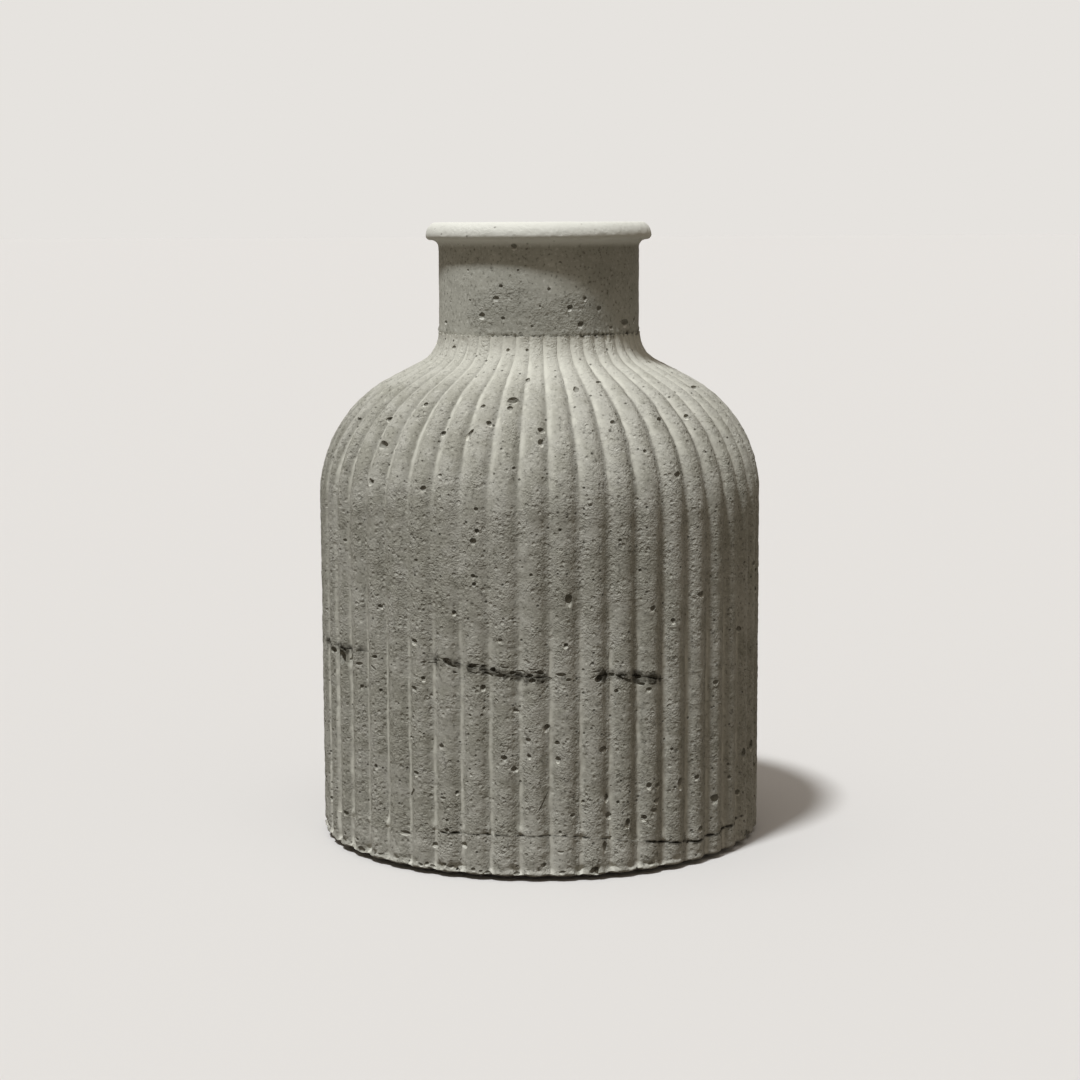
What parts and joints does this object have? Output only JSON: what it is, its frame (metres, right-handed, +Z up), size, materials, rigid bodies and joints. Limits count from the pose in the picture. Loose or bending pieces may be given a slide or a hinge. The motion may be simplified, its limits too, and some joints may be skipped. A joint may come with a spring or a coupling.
{
  "type": "urn vase",
  "caption": "Urn vase in cast concrete with a ribbed body, a sloping shoulder, a short smooth neck and a rolled rim.",
  "frame": {"origin": "middle of the resting face, under the felt pad", "axes": "+Z up through the mouth; -Y towards the camera of the picture"},
  "size_m": [0.181, 0.181, 0.25],
  "materials": {
    "neck_concrete": "smooth bare cast concrete with fine pores",
    "body_concrete": "bare cast concrete, sand-rough with air pits and a dark cold joint",
    "base_concrete": "bare cast concrete, lighter and smoother, with a chipped lower edge",
    "sealer": "brushed-on clear grey sealing coat",
    "felt": "dark pressed felt"
  },
  "bodies": {
    "root": {"rim_neck": "neck_concrete", "upper_body": "body_concrete", "lower_body": "body_concrete", "base_slab": "base_concrete", "waterproof_lining": "sealer", "felt_pad": "felt"}
  },
  "joints": []
}
